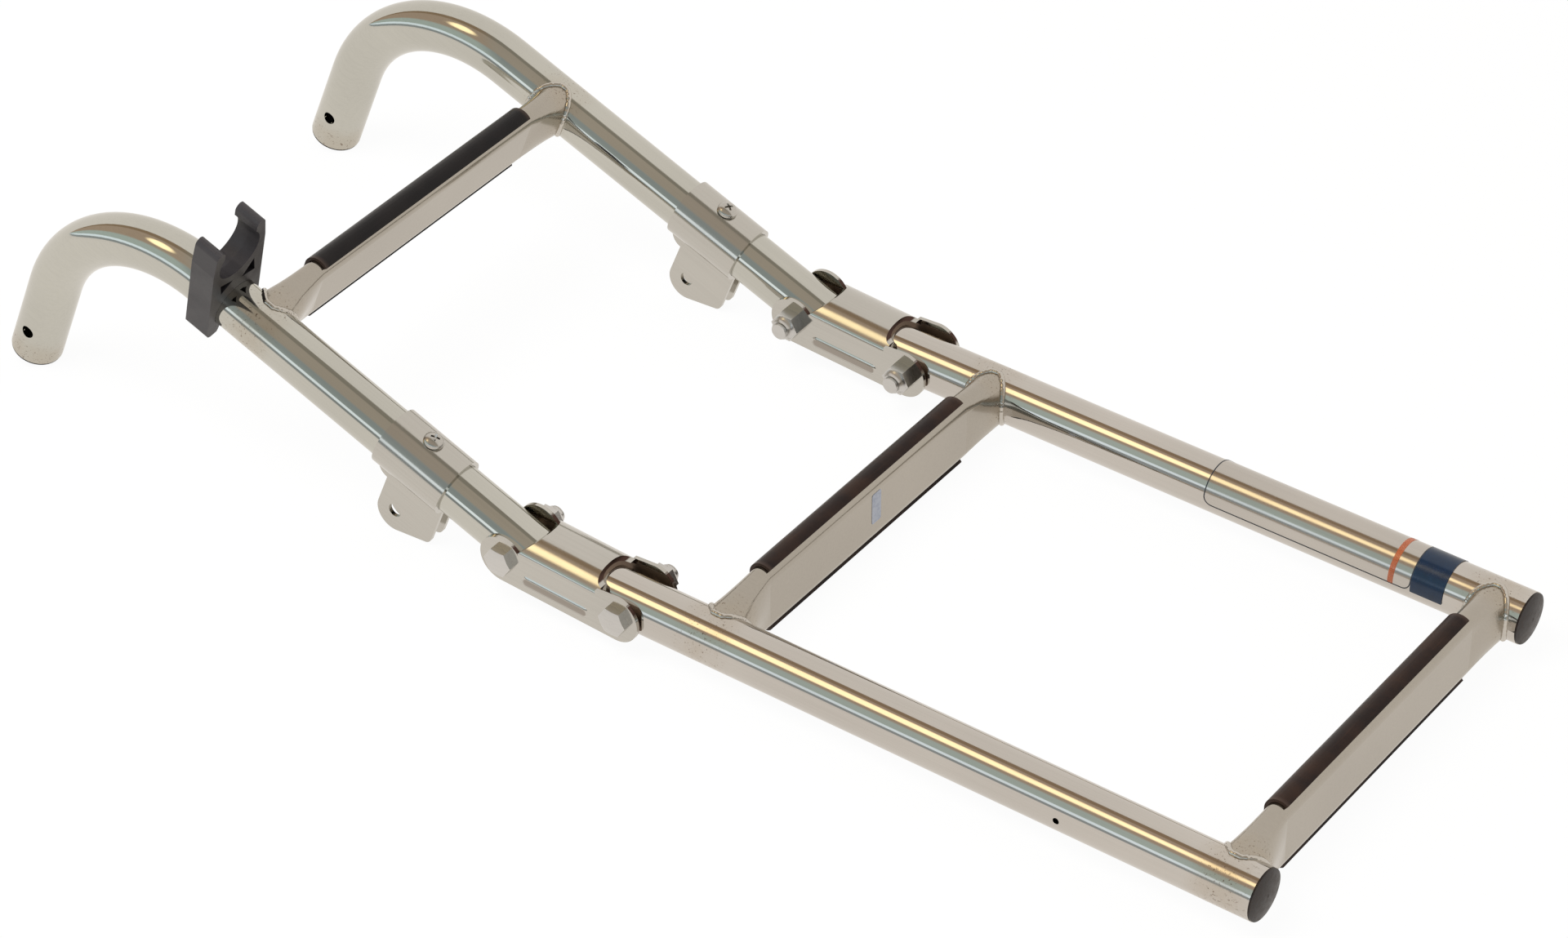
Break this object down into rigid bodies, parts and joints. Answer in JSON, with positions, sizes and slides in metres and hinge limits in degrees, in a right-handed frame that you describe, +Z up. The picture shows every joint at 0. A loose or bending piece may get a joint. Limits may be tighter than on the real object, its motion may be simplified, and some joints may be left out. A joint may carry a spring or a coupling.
{
  "type": "folding boat swim ladder",
  "caption": "Folding tube swim ladder with hooked upper rails, flattened rungs with ribbed treads, double-pivot hinge brackets, stand-off ears and a stowage clip.",
  "frame": {"origin": "bottom centre of the whole ladder as it lies half folded, on the surface that carries it", "axes": "+X from the hooks to the foot end, +Y to the climber's right, +Z up, on the climber's side"},
  "size_m": [0.7062, 0.2726, 0.1453],
  "materials": {
    "polished_tube": "polished stainless tube",
    "pressed_steel": "polished stainless sheet",
    "fastener_steel": "plain stainless fasteners",
    "tread_rubber": "matt black, ribbed",
    "clip_plastic": "moulded black nylon",
    "plug_plastic": "moulded dark brown plastic"
  },
  "bodies": {
    "upper_frame": {"upper_rail_left": "polished_tube", "standoff_strap_left": "pressed_steel", "strap_screw_left": "fastener_steel", "hook_plug_left": "plug_plastic", "upper_rail_right": "polished_tube", "standoff_strap_right": "pressed_steel", "strap_screw_right": "fastener_steel", "hook_plug_right": "plug_plastic", "top_rung": "polished_tube", "top_tread": "tread_rubber"},
    "clip": {"stowage_clip": "clip_plastic"},
    "hinge_brackets": {"hinge_bracket_left": "pressed_steel", "upper_bolt_left": "fastener_steel", "upper_nut_left": "fastener_steel", "lower_bolt_left": "fastener_steel", "lower_nut_left": "fastener_steel", "hinge_bracket_right": "pressed_steel", "upper_bolt_right": "fastener_steel", "upper_nut_right": "fastener_steel", "lower_bolt_right": "fastener_steel", "lower_nut_right": "fastener_steel"},
    "lower_frame": {"lower_rail_left": "polished_tube", "end_cap_left": "plug_plastic", "lower_rail_right": "polished_tube", "end_cap_right": "plug_plastic", "middle_rung": "polished_tube", "middle_tread": "tread_rubber", "bottom_rung": "polished_tube", "bottom_tread": "tread_rubber"}
  },
  "joints": [
    {"name": "upper_hinge", "type": "hinge", "parent": "upper_frame", "child": "hinge_brackets", "pos_m": [-0.04403, 0.00382, 0.02234], "axis": [0, -1, 0], "range_deg": [-17.87, 75.89]},
    {"name": "lower_hinge", "type": "hinge", "parent": "hinge_brackets", "child": "lower_frame", "pos_m": [0.02087, 0.00382, 0.01875], "axis": [0, -1, 0], "range_deg": [-3.17, 90.59]},
    {"name": "clip_turn", "type": "hinge", "parent": "upper_frame", "child": "clip", "pos_m": [-0.2167, -0.10868, 0.08877], "axis": [-0.9333, 0, 0.359], "range_deg": [-0.47, 13.01]}
  ],
  "couplings": [
    {"joint": "clip_turn", "follows": "lower_hinge", "ratio": 0.1435}
  ]
}
